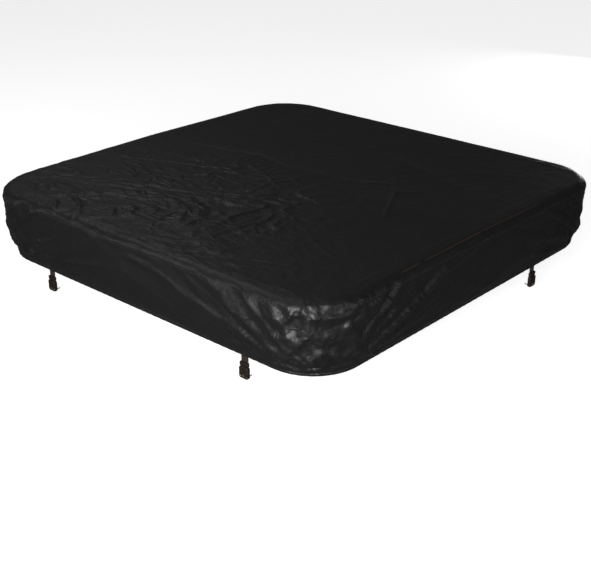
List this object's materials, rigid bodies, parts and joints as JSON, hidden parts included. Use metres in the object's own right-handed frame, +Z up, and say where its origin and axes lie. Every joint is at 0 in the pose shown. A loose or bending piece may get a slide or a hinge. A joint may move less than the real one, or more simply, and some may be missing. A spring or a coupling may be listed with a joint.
{
  "type": "folding spa cover",
  "caption": "Insulated lid in two folding halves for a square hot tub, under a fitted weather cap with an elastic hem and buckled tie-down straps.",
  "frame": {"origin": "centre of the plane that rests on the spa rim, on the fold line of the lid", "axes": "+Z up, -Y to the front, +X to the right; the fold runs along X"},
  "size_m": [2, 2.007, 0.421],
  "materials": {
    "cap_fabric": "coated polyester, dull sheen",
    "hem_fabric": "coated polyester, gathered",
    "elastic_cord": "braided cover",
    "cord_lock_plastic": "moulded",
    "spring_wire": "bright",
    "lid_vinyl": "embossed vinyl",
    "seal_vinyl": "embossed vinyl over soft foam",
    "liner": "reinforced sheet",
    "film": "clear film",
    "foam": "expanded bead foam",
    "galvanised_steel": "galvanised",
    "zip_tape": "woven tape and moulded coil",
    "zip_plastic": "moulded",
    "zinc_screw": "zinc plated",
    "lock_brass": "satin",
    "latch_plastic": "moulded, fine texture",
    "webbing": "woven"
  },
  "bodies": {
    "lid_rear": {"rear_foam_core": "foam", "rear_edge_channel": "galvanised_steel", "rear_vapour_film": "film", "rear_jacket": "lid_vinyl", "rear_bottom_liner": "liner", "rear_piping": "lid_vinyl", "rear_flaps": "lid_vinyl", "rear_zipper": "zip_tape", "rear_strap_anchors": "webbing", "heat_seal": "seal_vinyl", "hinge_strip": "lid_vinyl"},
    "lid_front": {"front_foam_core": "foam", "front_edge_channel": "galvanised_steel", "front_vapour_film": "film", "front_jacket": "lid_vinyl", "front_bottom_liner": "liner", "front_piping": "lid_vinyl", "front_flaps": "lid_vinyl", "front_zipper": "zip_tape", "front_strap_anchors": "webbing", "left_handle": "webbing", "right_handle": "webbing"},
    "cap_rear": {"cap_rear_top": "cap_fabric", "cap_rear_skirt": "cap_fabric", "cap_rear_hem": "hem_fabric", "cap_rear_hem_cord": "elastic_cord", "cord_lock_body": "cord_lock_plastic", "cord_lock_spring": "spring_wire", "cord_tails": "elastic_cord"},
    "cap_front": {"cap_front_top": "cap_fabric", "cap_front_skirt": "cap_fabric", "cap_front_hem": "hem_fabric", "cap_front_hem_cord": "elastic_cord"},
    "cord_plunger": {"cord_lock_plunger": "cord_lock_plastic"},
    "zip_rear": {"rear_zip_slider": "zip_plastic"},
    "zip_front": {"front_zip_slider": "zip_plastic"},
    "strap_front_left": {"front_left_strap": "webbing", "front_left_clip": "latch_plastic"},
    "keeper_front_left": {"front_left_keeper": "latch_plastic", "front_left_screws": "zinc_screw"},
    "barrel_front_left": {"front_left_lock": "lock_brass"},
    "strap_front_right": {"front_right_strap": "webbing", "front_right_clip": "latch_plastic"},
    "keeper_front_right": {"front_right_keeper": "latch_plastic", "front_right_screws": "zinc_screw"},
    "barrel_front_right": {"front_right_lock": "lock_brass"},
    "strap_side_right": {"side_right_strap": "webbing", "side_right_clip": "latch_plastic"},
    "keeper_side_right": {"side_right_keeper": "latch_plastic", "side_right_screws": "zinc_screw"},
    "barrel_side_right": {"side_right_lock": "lock_brass"},
    "strap_side_left": {"side_left_strap": "webbing", "side_left_clip": "latch_plastic"},
    "keeper_side_left": {"side_left_keeper": "latch_plastic", "side_left_screws": "zinc_screw"},
    "barrel_side_left": {"side_left_lock": "lock_brass"}
  },
  "joints": [
    {"name": "lid_fold", "type": "hinge", "parent": "lid_rear", "child": "lid_front", "pos_m": [0, 0, 0.1025], "axis": [-1, 0, 0], "range_deg": [0, 178.8], "deforming": ["hinge_strip"]},
    {"name": "cap_lift", "type": "slide", "parent": "lid_rear", "child": "cap_rear", "axis": [0, 0, 1], "range_m": [0, 0.8], "deforming": ["cap_rear_skirt", "cap_rear_hem", "cap_rear_hem_cord", "cap_front_skirt", "cap_front_hem", "cap_front_hem_cord", "cord_tails"]},
    {"name": "cap_fold", "type": "hinge", "parent": "cap_rear", "child": "cap_front", "pos_m": [0, 0, 0.1025], "axis": [-1, 0, 0], "range_deg": [0, 178.8]},
    {"name": "rear_zip", "type": "slide", "parent": "lid_rear", "child": "zip_rear", "axis": [1, 0, 0], "range_m": [0, 1.72]},
    {"name": "front_zip", "type": "slide", "parent": "lid_front", "child": "zip_front", "axis": [-1, 0, 0], "range_m": [0, 1.72]},
    {"name": "cord_lock_press", "type": "slide", "parent": "cap_rear", "child": "cord_plunger", "axis": [-1, 0, 0], "range_m": [0, 0.004], "stiffness_N_per_m": 800, "springref_m": -0.002, "deforming": ["cord_lock_spring"]},
    {"name": "front_left_swing", "type": "hinge", "parent": "lid_front", "child": "strap_front_left", "pos_m": [-0.59, -0.95225, -0.228], "axis": [-1, 0, 0], "range_deg": [0, 75]},
    {"name": "front_left_release", "type": "slide", "parent": "strap_front_left", "child": "keeper_front_left", "axis": [0, 0, -1], "range_m": [0, 0.03]},
    {"name": "front_left_key_turn", "type": "hinge", "parent": "keeper_front_left", "child": "barrel_front_left", "pos_m": [-0.59, -0.96, -0.307], "axis": [0, -1, 0], "range_deg": [0, 90]},
    {"name": "front_right_swing", "type": "hinge", "parent": "lid_front", "child": "strap_front_right", "pos_m": [0.59, -0.95225, -0.228], "axis": [-1, 0, 0], "range_deg": [0, 75]},
    {"name": "front_right_release", "type": "slide", "parent": "strap_front_right", "child": "keeper_front_right", "axis": [0, 0, -1], "range_m": [0, 0.03]},
    {"name": "front_right_key_turn", "type": "hinge", "parent": "keeper_front_right", "child": "barrel_front_right", "pos_m": [0.59, -0.96, -0.307], "axis": [0, -1, 0], "range_deg": [0, 90]},
    {"name": "side_right_swing", "type": "hinge", "parent": "lid_rear", "child": "strap_side_right", "pos_m": [0.95225, 0.495, -0.228], "axis": [0, -1, 0], "range_deg": [0, 75]},
    {"name": "side_right_release", "type": "slide", "parent": "strap_side_right", "child": "keeper_side_right", "axis": [0, 0, -1], "range_m": [0, 0.03]},
    {"name": "side_right_key_turn", "type": "hinge", "parent": "keeper_side_right", "child": "barrel_side_right", "pos_m": [0.96, 0.495, -0.307], "axis": [1, 0, 0], "range_deg": [0, 90]},
    {"name": "side_left_swing", "type": "hinge", "parent": "lid_rear", "child": "strap_side_left", "pos_m": [-0.95225, 0.492, -0.228], "axis": [0, 1, 0], "range_deg": [0, 75]},
    {"name": "side_left_release", "type": "slide", "parent": "strap_side_left", "child": "keeper_side_left", "axis": [0, 0, -1], "range_m": [0, 0.03]},
    {"name": "side_left_key_turn", "type": "hinge", "parent": "keeper_side_left", "child": "barrel_side_left", "pos_m": [-0.96, 0.492, -0.307], "axis": [-1, 0, 0], "range_deg": [0, 90]}
  ],
  "couplings": [
    {"joint": "cap_fold", "follows": "lid_fold", "ratio": 1}
  ]
}
